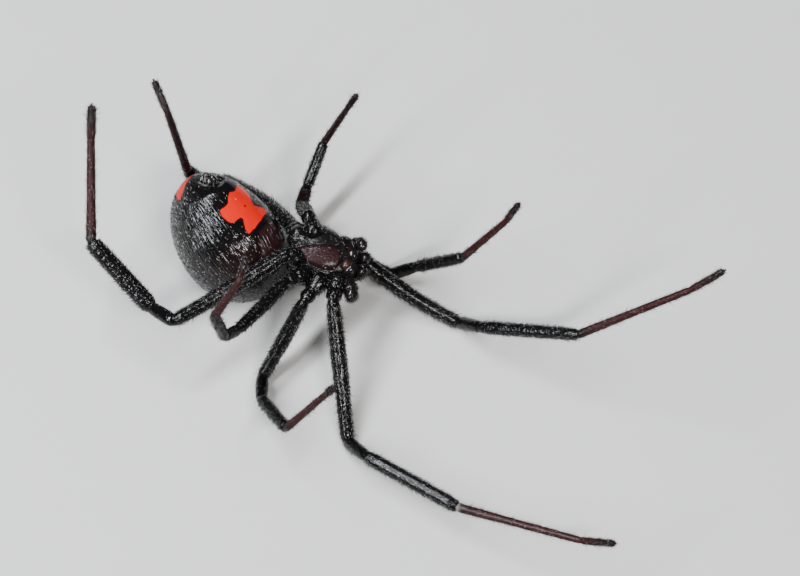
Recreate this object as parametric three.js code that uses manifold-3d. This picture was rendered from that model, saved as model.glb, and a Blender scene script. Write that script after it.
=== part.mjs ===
// A female black widow spider at life size, a still model that lies on its back with its belly up.
// Millimetres, +Z up. The floor is z = 0, and the origin is below the middle of the whole spider.
import * as THREE from 'three';
import { mergeVertices } from 'three/addons/utils/BufferGeometryUtils.js';
import Module from 'manifold-3d';

const wasm = await Module();
wasm.setup();

// Driving dimensions.
const JOINT_GAP = 0.1; // left between neighbouring pieces, a fifth of a leg's thickness
const EYE_GAP = 0.03;
const PROSOMA = { back: 1.85, front: 1.9, belly: 0.75 };
const STERNUM = { length: 2.3, width: 1.5, rise: 0.12, middle: -0.15 };
const ABDOMEN = { halfLength: 3.54, halfWidth: 2.39, belly: 2.5, back: 3.1, taper: 0.1 };
const PEDICEL_RADIUS = 0.32;
const EYE_RADIUS = 0.1;
const KNEE_HEIGHT = 0.27; // the middle of a knee that rests on the floor
const SIDES = 10; // of a leg's round section

// Lengths of the leg pieces by pair, and the thickest radius of the femur.
const LEG_SIZES = {
  1: { femur: 7.1, patella: 1.9, tibia: 5.5, metatarsus: 6.6, tarsus: 2.2, radius: 0.4 },
  2: { femur: 4.6, patella: 1.6, tibia: 3.3, metatarsus: 4.3, tarsus: 1.6, radius: 0.37 },
  3: { femur: 3.9, patella: 1.3, tibia: 2.4, metatarsus: 3.0, tarsus: 1.4, radius: 0.34 },
  4: { femur: 6.8, patella: 1.6, tibia: 4.4, metatarsus: 5.1, tarsus: 1.8, radius: 0.4 },
};

// The pose. A leg starts at root, where the femur leaves its short trochanter. Each piece after it
// has a bearing from +X towards +Y and a rise above the floor, in degrees. A femur with no rise
// comes down until its knee rests on the floor. bow is how far its middle bends out of line.
const LEG_POSES = {
  L1: {
    root: [-3.33, -2.94, 3.9], bow: [0, 0, -0.15], femur: [-83], patella: [-56, 33],
    tibia: [-34, 4], metatarsus: [-23, 12], tarsus: [-26, 34],
  },
  L2: {
    root: [-4.76, -2.75, 3.45], bow: [0, 0, -0.12], femur: [-130], patella: [-90, 18],
    tibia: [-63, 30], metatarsus: [-5, 62], tarsus: [-40, 68],
  },
  L3: {
    root: [-5.61, -2.14, 4.4], bow: [0, 0, -0.1], femur: [-128, 7], patella: [-126, 37],
    tibia: [-157, 79], metatarsus: [16, 64], tarsus: [77, 7],
  },
  L4: {
    root: [-5.52, -0.59, 4.6], bow: [0, 0, -0.15], femur: [-147, -4], patella: [138, -14],
    tibia: [136, 20], metatarsus: [90, 31], tarsus: [87, 42],
  },
  R1: {
    root: [-2.85, 0.92, 2.92], bow: [-0.05, -0.28, -0.1], femur: [-28], patella: [-42, 41],
    tibia: [-19, 23], metatarsus: [4, 35], tarsus: [10, 41],
  },
  R2: {
    root: [-4.05, 1.6, 3.0], bow: [-0.1, -0.12, -0.08], femur: [-15], patella: [-5, 37],
    tibia: [-18, 42], metatarsus: [-4, 61], tarsus: [19, 64],
  },
  R3: {
    root: [-4.65, 1.85, 4.35], bow: [0, 0, -0.1], femur: [99, -53], patella: [46, 70],
    tibia: [66, 29], metatarsus: [16, 65], tarsus: [1, 69],
  },
  R4: {
    root: [-5.3, 1.52, 3.28], bow: [0.25, 0.15, -0.05], femur: [129, -26], patella: [-72, 2],
    tibia: [-169, 62], metatarsus: [158, 80], tarsus: [117, 31],
  },
};

// Where each pair of coxae grows from the body: forward, out and up towards the belly.
const COXA_BASES = {
  1: [0.95, 0.8, 0.3], 2: [0.25, 0.95, 0.35], 3: [-0.5, 0.95, 0.35], 4: [-1.15, 0.65, 0.35],
};

const blackCuticle = { color: 0x14110f, roughness: 0.3 };
const brownCuticle = { color: 0x3a1a14, roughness: 0.35 };
const palePart = { color: 0x6b4a34, roughness: 0.5 };
const eyeGlass = { color: 0x050505, roughness: 0.1 };

const degrees = THREE.MathUtils.degToRad;
const vector = (list) => new THREE.Vector3(...list);

function heading([bearing, rise]) {
  return new THREE.Vector3(
    Math.cos(degrees(rise)) * Math.cos(degrees(bearing)),
    Math.cos(degrees(rise)) * Math.sin(degrees(bearing)),
    Math.sin(degrees(rise)),
  );
}

// A body frame: x forward, y to the spider's right, z towards its belly.
function bodyGroup(place, forward, belly) {
  const x = heading(forward);
  const y = new THREE.Vector3().crossVectors(heading(belly), x).normalize();
  const z = new THREE.Vector3().crossVectors(x, y);
  const group = new THREE.Group();
  group.position.copy(vector(place));
  group.quaternion.setFromRotationMatrix(new THREE.Matrix4().makeBasis(x, y, z));
  group.updateMatrixWorld(true);
  return group;
}

const prosomaGroup = bodyGroup([-3.85, -0.37, 3.55], [-9.5, -7], [-80, 70]);
const abdomenGroup = bodyGroup([-8.59, 1.26, 2.98], [-47, -29], [-9, 54]);

// Closed solids for cutting and joining.
function solidOf(geometry, matrix = new THREE.Matrix4()) {
  const copy = geometry.clone().applyMatrix4(matrix);
  copy.deleteAttribute('normal');
  copy.deleteAttribute('uv');
  const merged = mergeVertices(copy, 1e-4);
  return new wasm.Manifold(
    new wasm.Mesh({
      numProp: 3,
      vertProperties: merged.attributes.position.array,
      triVerts: new Uint32Array(merged.index.array),
    }),
  );
}

function largest(solid) {
  return solid.decompose().reduce((best, piece) => (piece.volume() > best.volume() ? piece : best));
}

function geometryOf(solid) {
  const mesh = largest(solid).getMesh();
  const positions = new Float32Array(mesh.numVert * 3);
  for (let i = 0; i < mesh.numVert; i++) {
    positions.set(mesh.vertProperties.subarray(i * mesh.numProp, i * mesh.numProp + 3), i * 3);
  }
  const geometry = new THREE.BufferGeometry();
  geometry.setAttribute('position', new THREE.BufferAttribute(positions, 3));
  geometry.setIndex(new THREE.BufferAttribute(new Uint32Array(mesh.triVerts), 1));
  geometry.computeVertexNormals();
  return geometry;
}

function piece(name, geometry, look) {
  const mesh = new THREE.Mesh(geometry, new THREE.MeshStandardMaterial(look));
  mesh.name = name;
  return mesh;
}

// Every vertex of a shape goes through a function that returns its new place.
function reshape(geometry, move) {
  const places = geometry.attributes.position;
  const point = new THREE.Vector3();
  for (let i = 0; i < places.count; i++) {
    point.fromBufferAttribute(places, i);
    move(point);
    places.setXYZ(i, point.x, point.y, point.z);
  }
  return geometry;
}

// A value read off a short list of [position, value] pairs, with a smooth curve between them.
function along(stations, position) {
  const last = stations.length - 1;
  if (position >= stations[last][0]) return stations[last][1];
  const next = Math.max(1, stations.findIndex(([at]) => at > position));
  const [a, b] = [stations[next - 1], stations[next]];
  return THREE.MathUtils.lerp(a[1], b[1], THREE.MathUtils.smoothstep(position, a[0], b[0]));
}

// A turned shape round the x axis, closed at both ends. radius(share) is read at each ring.
function turned(rings, sides, length, radius) {
  const profile = [new THREE.Vector2(0, 0)];
  for (let i = 0; i <= rings; i++) {
    profile.push(new THREE.Vector2(Math.max(radius(i / rings), 0.01), (length * i) / rings));
  }
  profile.push(new THREE.Vector2(0, length));
  return new THREE.LatheGeometry(profile, sides).rotateZ(-Math.PI / 2);
}

// A round limb along a curve. Its end faces lie in the planes that halve the bends to the pieces
// before and after it, so that neighbours meet face to face with the joint gap between them.
function limb(curve, stations, rings, options = {}) {
  const { before, after, bow = [0, 0, 0], sides = SIDES, gap = JOINT_GAP } = options;
  const length = curve.getLength();
  const frames = curve.computeFrenetFrames(rings);
  const points = curve.getSpacedPoints(rings);
  const faceShift = (offset, tangent, neighbour) => {
    const normal = tangent.clone().add(neighbour || tangent).normalize();
    return -offset.dot(normal) / normal.dot(tangent);
  };
  const radiusAt = (share) => along(stations, share);
  return reshape(turned(rings, sides, length, radiusAt), (point) => {
    const ring = Math.round((point.x / length) * rings);
    const share = ring / rings;
    const offset = frames.normals[ring].clone().multiplyScalar(point.y);
    offset.addScaledVector(frames.binormals[ring], point.z);
    const tangent = frames.tangents[ring];
    const start = (before ? gap / 2 : 0) + faceShift(offset, frames.tangents[0], before);
    const end = (after ? -gap / 2 : 0) + faceShift(offset, frames.tangents[rings], after);
    point.copy(points[ring]).add(offset);
    point.addScaledVector(tangent, THREE.MathUtils.lerp(start, end, share));
    point.addScaledVector(vector(bow), 4 * share * (1 - share));
  });
}

// What would reach through the floor is cut off flat at it.
function onFloor(solid) {
  return geometryOf(solid.trimByPlane([0, 0, 1], 0));
}

// Prosoma: the carapace below and the sternum side above, with width and depth along its length.
const WIDTH_ALONG = [
  [-1.85, 0.3], [-1.6, 0.9], [-1.1, 1.35], [-0.4, 1.6], [0.3, 1.45], [0.9, 1.15], [1.4, 1.0], [1.9, 0.72],
];
const BELLY_ALONG = [[-1.85, 0.2], [-1.4, 0.6], [0, 0.75], [1.2, 0.62], [1.9, 0.3]];
const BACK_ALONG = [[-1.85, 0.25], [-1.4, 0.7], [-0.45, 0.82], [0.5, 1.05], [1.2, 1.1], [1.9, 0.75]];

// A point of the prosoma's surface: how far forward, and the angle from its right side to its belly.
function prosomaSurface(forward, angle, grow = 0) {
  const upward = Math.sin(angle);
  const depth = along(upward > 0 ? BELLY_ALONG : BACK_ALONG, forward) + grow;
  return new THREE.Vector3(forward, (along(WIDTH_ALONG, forward) + grow) * Math.cos(angle), depth * upward);
}

function prosomaShape(grow = 0) {
  const length = PROSOMA.back + PROSOMA.front;
  const shape = turned(18, 24, 1, () => 1);
  return reshape(shape, (point) => {
    const forward = point.x * length - PROSOMA.back;
    const onAxis = Math.hypot(point.y, point.z) < 0.5;
    const surface = prosomaSurface(forward, Math.atan2(point.z, point.y), grow);
    point.set(forward + Math.sign(point.x - 0.5) * grow, onAxis ? 0 : surface.y, onAxis ? 0 : surface.z);
  });
}

// The sternum is a raised shield, broad in front and pointed between the last coxae.
function sternumShape(grow = 0) {
  const length = STERNUM.length + 2 * grow;
  const width = STERNUM.width + 2 * grow;
  const rise = STERNUM.rise;
  const shield = new THREE.Shape();
  shield.moveTo(length * 0.45, -width * 0.3);
  shield.quadraticCurveTo(length * 0.55, 0, length * 0.45, width * 0.3);
  shield.quadraticCurveTo(length * 0.25, width * 0.62, -length * 0.05, width * 0.42);
  shield.quadraticCurveTo(-length * 0.3, width * 0.25, -length * 0.5, 0);
  shield.quadraticCurveTo(-length * 0.3, -width * 0.25, -length * 0.05, -width * 0.42);
  shield.quadraticCurveTo(length * 0.25, -width * 0.62, length * 0.45, -width * 0.3);
  const bevel = { bevelEnabled: true, bevelThickness: rise * 0.6, bevelSize: rise * 0.8, bevelSegments: 1 };
  const plate = new THREE.ExtrudeGeometry(shield, { depth: rise, curveSegments: 5, ...bevel });
  return plate.translate(STERNUM.middle, 0, PROSOMA.belly - rise * 0.6 + grow);
}

// Eyes: two rows of four on the front of the head, each by how far forward and its angle.
const EYES = {
  front_middle: [1.88, -58], front_side: [1.78, -30], rear_middle: [1.55, -70], rear_side: [1.5, -42],
};
const eyePlaces = Object.entries(EYES).flatMap(([name, [forward, angle]]) =>
  [['R', angle], ['L', 180 - angle]].map(([side, turn]) => ({
    name: `eye_${name}_${side}`,
    place: prosomaSurface(forward, degrees(turn)),
  })),
);

function eyeBall(place, radius) {
  return new THREE.SphereGeometry(radius, 10, 7).translate(place.x, place.y, place.z);
}

let prosomaSolid = solidOf(prosomaShape()).add(solidOf(sternumShape()));
for (const { name, place } of eyePlaces) {
  prosomaSolid = prosomaSolid.subtract(solidOf(eyeBall(place, EYE_RADIUS + EYE_GAP)));
  prosomaGroup.add(piece(name, eyeBall(place, EYE_RADIUS), eyeGlass));
}
prosomaGroup.add(piece('prosoma', geometryOf(prosomaSolid), brownCuticle));
const prosomaRoom = solidOf(prosomaShape(JOINT_GAP)).add(solidOf(sternumShape(JOINT_GAP)));

// Mouthparts on the belly side in front of the sternum, all beside the middle line.
function sideLimb(points, stations, rings, options) {
  return limb(new THREE.CatmullRomCurve3(points.map(vector)), stations, rings, options);
}
const mirrored = (points, side) => points.map(([x, y, z]) => [x, y * side, z]);

// Labium and the two endites that close on the mouth, as one piece.
const labium = new THREE.SphereGeometry(1, 12, 8).scale(0.28, 0.3, 0.28).translate(1.2, 0, 0.64);
let mouth = solidOf(labium);
for (const side of [-1, 1]) {
  const endite = sideLimb(
    mirrored([[1.16, 0.58, 0.5], [1.42, 0.38, 0.7], [1.62, 0.16, 0.74]], side),
    [[0, 0.2], [0.5, 0.26], [1, 0.14]], 6,
  );
  mouth = mouth.add(solidOf(endite));
}
mouth = mouth.subtract(prosomaRoom);

// Chelicerae: stout at the base, held side by side, each with its short curved fang.
const CHELICERA_PATH = [[1.7, 0.36, -0.1], [2.04, 0.36, 0.38], [2.06, 0.31, 0.82]];
const FANG_PATH = [[2.06, 0.3, 0.76], [2.03, 0.24, 1.0], [1.93, 0.1, 1.06]];
const chelicerae = [['L', -1], ['R', 1]].map(([name, side]) => {
  const stem = sideLimb(mirrored(CHELICERA_PATH, side), [[0, 0.28], [0.45, 0.31], [0.8, 0.27], [1, 0.16]], 8);
  const fang = sideLimb(mirrored(FANG_PATH, side), [[0, 0.09], [1, 0.02]], 5, { sides: 6 });
  return [`chelicera_${name}`, solidOf(stem).add(solidOf(fang)).subtract(prosomaRoom)];
});
const frontRoom = chelicerae.reduce((room, [, solid]) => room.add(solid), mouth);

// Palps: the left one reaches out to the side, the right one is drawn in beside the mouth.
const PALP_PATHS = {
  L: [[1.3, -0.95, 0.35], [1.5, -1.45, 0.75], [1.67, -2.08, 1.0]],
  R: [[1.3, 0.95, 0.3], [1.66, 1.06, 0.72], [1.84, 0.7, 1.12]],
};
const palps = Object.entries(PALP_PATHS).map(([name, path]) => {
  const shape = sideLimb(path, [[0, 0.29], [0.42, 0.3], [0.54, 0.25], [0.8, 0.27], [1, 0.16]], 10);
  return [`palp_${name}`, solidOf(shape).subtract(prosomaRoom).subtract(frontRoom)];
});
prosomaGroup.add(piece('mouthparts', geometryOf(mouth), palePart));
for (const [name, solid] of [...chelicerae, ...palps]) {
  prosomaGroup.add(piece(name, geometryOf(solid), blackCuticle));
}

// Abdomen: a globe with a flatter belly, a little narrower towards the spinnerets.
function abdomenShape(grow = 0) {
  const { halfLength, halfWidth, belly, back, taper } = ABDOMEN;
  const ball = new THREE.SphereGeometry(1, 30, 20).rotateZ(Math.PI / 2);
  return reshape(ball, (point) => {
    const fullness = 1 + taper * point.x;
    point.x *= halfLength + grow;
    point.y *= (halfWidth + grow) * fullness;
    point.z *= ((point.z > 0 ? belly : back) + grow) * fullness;
  });
}
const abdomenRoom = solidOf(abdomenShape(JOINT_GAP));

// Spinnerets: three pairs of short cones on a low ring at the rear end.
const SPINNERETS = { place: [-2.95, 0, 1.3], turn: -46, ring: 0.58, reach: 0.32 };
const CONE_PLACES = [[0.24, 35, 0.19], [0.2, 90, 0.13], [0.25, 145, 0.18]]; // out, angle, radius
const spinneretGroup = new THREE.Matrix4()
  .makeTranslation(...SPINNERETS.place)
  .multiply(new THREE.Matrix4().makeRotationY(degrees(180 - SPINNERETS.turn)));
const lowRing = turned(2, 16, 0.5, (share) => SPINNERETS.ring - 0.12 * share);
let spinnerets = solidOf(lowRing.translate(-0.35, 0, 0));
for (const side of [-1, 1]) {
  for (const [out, angle, radius] of CONE_PLACES) {
    const reach = SPINNERETS.reach + 0.2;
    const cone = turned(4, 8, reach, (share) => radius * (1 - 0.55 * share * share));
    const turn = degrees(angle) * side;
    cone.translate(-0.05, out * Math.sin(turn), out * Math.cos(turn));
    spinnerets = spinnerets.add(solidOf(cone));
  }
}
spinnerets = spinnerets.transform(spinneretGroup.elements).subtract(abdomenRoom);
abdomenGroup.add(piece('spinnerets', geometryOf(spinnerets), palePart));

// Pedicel: the narrow stalk between the two halves of the body.
const abdomenWorld = abdomenRoom.transform(abdomenGroup.matrixWorld.elements);
const prosomaWorld = prosomaRoom.transform(prosomaGroup.matrixWorld.elements);
const stalkStart = abdomenGroup.localToWorld(new THREE.Vector3(1.95, 0, 1.6));
const stalkEnd = prosomaGroup.localToWorld(new THREE.Vector3(-1.5, 0, 0));
const stalkWaist = PEDICEL_RADIUS * 0.85;
const stalk = limb(
  new THREE.LineCurve3(stalkStart, stalkEnd),
  [[0, PEDICEL_RADIUS], [0.5, stalkWaist], [1, PEDICEL_RADIUS]], 4,
);
const pedicelSolid = solidOf(stalk).subtract(abdomenWorld).subtract(prosomaWorld);

const spider = new THREE.Group();
spider.add(prosomaGroup, abdomenGroup);
spider.add(piece('pedicel', geometryOf(pedicelSolid), brownCuticle));
spider.add(piece('abdomen', onFloor(solidOf(abdomenShape(), abdomenGroup.matrixWorld)), blackCuticle));

// Legs: five pieces each after the pose, as radii along each piece in shares of the femur's radius.
const FEMUR_ALONG = [[0, 0.72], [0.12, 0.95], [0.35, 1], [0.8, 0.9], [0.94, 0.88], [1, 0.78]];
const PATELLA_ALONG = [[0, 0.78], [0.2, 0.92], [0.6, 0.92], [1, 0.76]];
const TIBIA_ALONG = [[0, 0.74], [0.12, 0.84], [0.6, 0.82], [0.92, 0.78], [1, 0.7]];
const FOOT_ALONG = [[0, 0.66], [0.1, 0.7], [0.6, 0.66], [0.76, 0.6], [0.95, 0.4], [1, 0.18]];
const COXA_ALONG = [[0, 1.3], [0.4, 1.28], [0.6, 1.08], [0.72, 0.94], [0.8, 1.04], [1, 0.8]];
const scaled = (stations, radius) => stations.map(([share, value]) => [share, value * radius]);

// The joints of one leg from the coxa's base to the tip of the tarsus.
function legJoints(name) {
  const pair = name[1];
  const side = name[0] === 'L' ? -1 : 1;
  const sizes = LEG_SIZES[pair];
  const pose = LEG_POSES[name];
  const [forward, out, up] = COXA_BASES[pair];
  const root = vector(pose.root);
  const restingRise = -THREE.MathUtils.radToDeg(Math.asin((root.z - KNEE_HEIGHT) / sizes.femur));
  const joints = [prosomaGroup.localToWorld(new THREE.Vector3(forward, out * side, up)), root];
  for (const part of ['femur', 'patella', 'tibia', 'metatarsus', 'tarsus']) {
    const [bearing, rise = restingRise] = pose[part];
    joints.push(joints.at(-1).clone().addScaledVector(heading([bearing, rise]), sizes[part]));
  }
  return joints;
}

function legPieces(name) {
  const radius = LEG_SIZES[name[1]].radius;
  const joints = legJoints(name);
  const ways = joints.slice(1).map((joint, i) => joint.clone().sub(joints[i]).normalize());
  const straight = (from) => new THREE.LineCurve3(joints[from], joints[from + 1]);
  const bow = LEG_POSES[name].bow;
  const ends = (index) => ({ before: ways[index - 1], after: ways[index + 1] });
  const [, , , , metatarsusStart, tarsusStart, tip] = joints;
  const foot = new THREE.CatmullRomCurve3([
    metatarsusStart, metatarsusStart.clone().lerp(tarsusStart, 0.5), tarsusStart, tip,
  ]);
  return {
    coxa: limb(straight(0), scaled(COXA_ALONG, radius), 8, { after: ways[1] }),
    femur: limb(straight(1), scaled(FEMUR_ALONG, radius), 8, { ...ends(1), bow }),
    patella: limb(straight(2), scaled(PATELLA_ALONG, radius), 4, ends(2)),
    tibia: limb(straight(3), scaled(TIBIA_ALONG, radius), 6, ends(3)),
    metatarsus: limb(foot, scaled(FOOT_ALONG, radius), 12, { before: ways[3] }),
  };
}

// Two coxae beside each other are parted by the plane half way between them.
function partCoxae(solids, from, to) {
  const middle = (name) => {
    const [base, root] = legJoints(name);
    return base.lerp(root, 0.35);
  };
  const [a, b] = [middle(from), middle(to)];
  const normal = a.clone().sub(b).normalize();
  const half = a.clone().add(b).multiplyScalar(0.5).dot(normal);
  solids[from] = solids[from].trimByPlane(normal.toArray(), half + JOINT_GAP / 2);
  solids[to] = solids[to].trimByPlane(normal.negate().toArray(), -half + JOINT_GAP / 2);
}

const legs = Object.keys(LEG_POSES);
const shapes = Object.fromEntries(legs.map((name) => [name, legPieces(name)]));
const coxae = Object.fromEntries(legs.map((name) => [name, solidOf(shapes[name].coxa)]));
for (const side of ['L', 'R']) {
  for (const pair of [1, 2, 3]) partCoxae(coxae, side + pair, side + (pair + 1));
}
const frontWorld = palps
  .reduce((room, [, solid]) => room.add(solid), frontRoom)
  .transform(prosomaGroup.matrixWorld.elements);

for (const name of legs) {
  const leg = new THREE.Group();
  const { coxa, ...others } = shapes[name];
  const clear = coxae[name].subtract(prosomaWorld).subtract(frontWorld).subtract(solidOf(stalk));
  leg.add(piece(`leg_${name}_coxa`, geometryOf(clear), brownCuticle));
  for (const [part, shape] of Object.entries(others)) {
    const look = part === 'metatarsus' ? brownCuticle : blackCuticle;
    leg.add(piece(`leg_${name}_${part}`, onFloor(solidOf(shape)), look));
  }
  spider.add(leg);
}

// The origin goes below the middle of the whole spider, on the floor.
spider.updateMatrixWorld(true);
const box = new THREE.Box3().setFromObject(spider, true);
const centre = box.getCenter(new THREE.Vector3());
spider.position.set(-centre.x, -centre.y, -box.min.z);

export default spider;
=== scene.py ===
# %% [markdown]
# # A black widow spider at life size
# A still model of a female that lies on its back: the belly with its red mark looks up, and eight
# long legs reach out over the floor. Lengths in this script are millimetres until a mesh is
# finished, when MM turns them into Blender's metres.

import math

import bmesh
import bpy
from mathutils import Matrix, Vector, noise


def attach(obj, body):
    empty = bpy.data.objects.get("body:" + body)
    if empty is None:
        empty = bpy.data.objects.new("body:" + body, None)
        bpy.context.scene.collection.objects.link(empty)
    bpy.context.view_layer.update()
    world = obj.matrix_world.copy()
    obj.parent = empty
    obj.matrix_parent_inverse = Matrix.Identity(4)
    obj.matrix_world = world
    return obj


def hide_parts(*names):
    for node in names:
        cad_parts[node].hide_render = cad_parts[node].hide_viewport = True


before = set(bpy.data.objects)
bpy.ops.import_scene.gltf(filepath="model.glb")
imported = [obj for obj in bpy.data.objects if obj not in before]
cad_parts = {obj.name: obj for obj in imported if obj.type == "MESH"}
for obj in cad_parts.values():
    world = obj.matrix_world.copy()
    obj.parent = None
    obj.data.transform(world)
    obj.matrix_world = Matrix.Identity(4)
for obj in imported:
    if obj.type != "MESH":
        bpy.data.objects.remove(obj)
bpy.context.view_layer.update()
MM = 0.001
FLOOR = 0.0
SAME_POINT = 1e-7  # points nearer than this, in metres, are one
print("solids loaded:", len(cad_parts))

# %% [markdown]
# ## Body frames
# A spider's body has two halves, each turned its own way. Each half gets a frame of its own, x to
# the head, y to its right side and z out of the belly, so that shapes and markings are written once
# in the animal's own directions and then placed by one matrix.


# %% Body frames
ORIGIN = Vector((-0.146, 4.777, 0.0))  # from the pose's zero to the middle of the model's floor


def heading(bearing, rise):
    """The direction of a bearing and a rise in degrees."""
    b, r = math.radians(bearing), math.radians(rise)
    return Vector((math.cos(r) * math.cos(b), math.cos(r) * math.sin(b), math.sin(r)))


def body_frame(place, forward, belly):
    """A frame at a place in mm, with x to the head and z out of the belly."""
    x = heading(*forward)
    y = heading(*belly).cross(x).normalized()
    turn = Matrix((x, y, x.cross(y))).transposed().to_4x4()
    return Matrix.Translation(Vector(place) + ORIGIN) @ turn


PROSOMA = body_frame((-3.85, -0.37, 3.55), (-9.5, -7), (-80, 70))
ABDOMEN = body_frame((-8.59, 1.26, 2.98), (-47, -29), (-9, 54))
print("abdomen's middle:", [round(c, 2) for c in ABDOMEN.translation])

# %% [markdown]
# ## Tools for round shapes
# Every part of a spider is a closed round form, so one tool serves them all: a flat grid is rolled
# into a tube, its two open ends shrink to a point, and a function says where each point goes. The
# grid's own two directions are then a ready unwrap of the shape, kept as the map OFBake.


# %% Smooth curves and round ends
def ramp(stations, at):
    """A value read off [position, value] pairs, with a smooth curve between them."""
    if at <= stations[0][0]:
        return stations[0][1]
    for (a, low), (b, high) in zip(stations, stations[1:]):
        if at <= b:
            t = (at - a) / (b - a)
            return low + (high - low) * t * t * (3 - 2 * t)
    return stations[-1][1]


def dome(at, depth):
    """Rounds off the end of a form: 0 at its tip and 1 from depth on."""
    t = min(max(at / depth, 0.0), 1.0)
    return math.sqrt(max(1 - (1 - t) ** 2, 0.0))


print("a dome's height at a quarter of its depth:", round(dome(0.25, 1.0), 2))


# %% Finished meshes
def finished(name, bm):
    """Turns a bmesh into an object that sits at the origin."""
    bmesh.ops.recalc_face_normals(bm, faces=bm.faces)
    for face in bm.faces:
        face.smooth = True
    mesh = bpy.data.meshes.new(name)
    bm.to_mesh(mesh)
    bm.free()
    made = bpy.data.objects.new(name, mesh)
    bpy.context.scene.collection.objects.link(made)
    print(name, len(mesh.vertices), "points")
    return made


# %% Rolled skins
def rolled(rows, sides, place, flow=1, marks=None, into=None):
    """A closed round skin in bmesh. place(along, turn) gives each point in mm, and marks adds named
    values to the points, such as how much hair grows there. The hair lies along the skin, to the
    far end where flow is 1 and to the near end where it is -1. into is a bmesh to add the skin to."""
    marks = {"hair": lambda along, turn: 1.0, **(marks or {})}
    bm = bmesh.new()
    bm.loops.layers.uv.new("OFBake")
    bmesh.ops.create_grid(bm, x_segments=rows, y_segments=sides, size=0.5, calc_uvs=True)
    values = {key: bm.verts.layers.float.new(key) for key in marks}
    lie = bm.verts.layers.float_vector.new("flow")
    for v in bm.verts:
        along, turn = v.co.x + 0.5, v.co.y + 0.5
        here = place(along, turn)
        near = along + (1 / rows if along < 0.5 else -1 / rows)
        way = (place(near, turn) - here) * (flow if along < 0.5 else -flow)
        v[lie] = way.normalized()
        for key, value in marks.items():
            v[values[key]] = value(along, turn)
        here.z = max(here.z, FLOOR)
        v.co = here * MM
    bmesh.ops.remove_doubles(bm, verts=bm.verts, dist=SAME_POINT)
    if into is not None:
        copy = bpy.data.meshes.new("part")
        bm.to_mesh(copy)
        bm.free()
        into.from_mesh(copy)
        bpy.data.meshes.remove(copy)
        return into
    return bm


# %% Tubes along a path
def tube(points, radii, sides, into=None, rows=24, marks=None):
    """A round limb with domed ends along a smooth path. radii is [share, radius] pairs."""
    path = smooth_path([Vector(p) for p in points], rows)
    turns = carried_frames(path)
    length = sum((b - a).length for a, b in zip(path, path[1:]))

    def place(along, turn):
        ring = round(along * rows)
        share = ring / rows
        side, up = turns[ring]
        radius = ramp(radii, share)
        radius *= dome(share * length, radius) * dome((1 - share) * length, radius)
        angle = 2 * math.pi * turn
        return path[ring] + (side * math.cos(angle) + up * math.sin(angle)) * radius

    return rolled(rows, sides, place, marks=marks, into=into)


def smooth_path(points, rows):
    """Evenly many points on a curve that passes through the given ones."""
    ends = [2 * points[0] - points[1], *points, 2 * points[-1] - points[-2]]
    found = []
    for i in range(rows + 1):
        at = i / rows * (len(points) - 1)
        k = min(int(at), len(points) - 2)
        t = at - k
        a, b, c, d = ends[k : k + 4]
        bend = (-a + 3 * b - 3 * c + d) * t**3 + (2 * a - 5 * b + 4 * c - d) * t**2
        found.append((bend + (c - a) * t + 2 * b) / 2)
    return found


def carried_frames(path):
    """Two directions across the path at each point, carried along it without a twist."""
    frames = []
    side = None
    for i, here in enumerate(path):
        way = (path[min(i + 1, len(path) - 1)] - path[max(i - 1, 0)]).normalized()
        if side is None:
            side = way.cross(Vector((0, 0, 1)))
            side = side if side.length > 0.1 else way.cross(Vector((0, 1, 0)))
        side = (side - way * side.dot(way)).normalized()
        frames.append((side, way.cross(side)))
    return frames


print("a path of", len(smooth_path([Vector((0, 0, 0)), Vector((1, 0, 0))], 24)), "rings")

# %% [markdown]
# ## Node groups for the surface
# Cuticle is hard and glossy, yet never smooth: up close it has fine scales, and stretched skin has
# ridges. Both only bend the highlight, so they are bump heights, made once as node groups. A third
# group turns a distance kept on the mesh into a marking with a slightly uneven edge, as pigment
# under cuticle has.


# %% A node group's frame
def group(name, inputs, output):
    """A group with named numbers as inputs, each with its usual value, and one number as output."""
    made = bpy.data.node_groups.new(name, "ShaderNodeTree")
    for label, value in inputs.items():
        socket = made.interface.new_socket(label, in_out="INPUT", socket_type="NodeSocketFloat")
        socket.default_value = value
    made.interface.new_socket(output, in_out="OUTPUT", socket_type="NodeSocketFloat")
    return made, made.nodes.new("NodeGroupInput"), made.nodes.new("NodeGroupOutput")


def maths(tree, operation, *values):
    """The result of a Math node. Each value is a number or the socket that it comes from."""
    made = tree.nodes.new("ShaderNodeMath")
    made.operation = operation
    for socket, value in zip(made.inputs, values):
        if isinstance(value, bpy.types.NodeSocket):
            tree.links.new(value, socket)
        else:
            socket.default_value = value
    return made.outputs[0]


print("node groups so far:", len(bpy.data.node_groups))


# %% Scales of the cuticle
def grain_group():
    """Fine scales of the cuticle: a height from object coordinates."""
    made, given, result = group("grain", {"Scale": 9000.0}, "Height")
    nodes, links = made.nodes, made.links
    place = nodes.new("ShaderNodeTexCoord")
    cells = nodes.new("ShaderNodeTexVoronoi")
    cells.feature = "SMOOTH_F1"
    cloud = nodes.new("ShaderNodeTexNoise")
    cloud.inputs["Detail"].default_value = 3.0
    cloud.inputs["Scale"].default_value = 2600.0
    links.new(place.outputs["Object"], cells.inputs["Vector"])
    links.new(place.outputs["Object"], cloud.inputs["Vector"])
    links.new(given.outputs["Scale"], cells.inputs["Scale"])
    both = maths(made, "MULTIPLY_ADD", cells.outputs["Distance"], 0.6, cloud.outputs["Fac"])
    links.new(both, result.inputs["Height"])
    return made


GRAIN = grain_group()
print("node group:", GRAIN.name)


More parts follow.
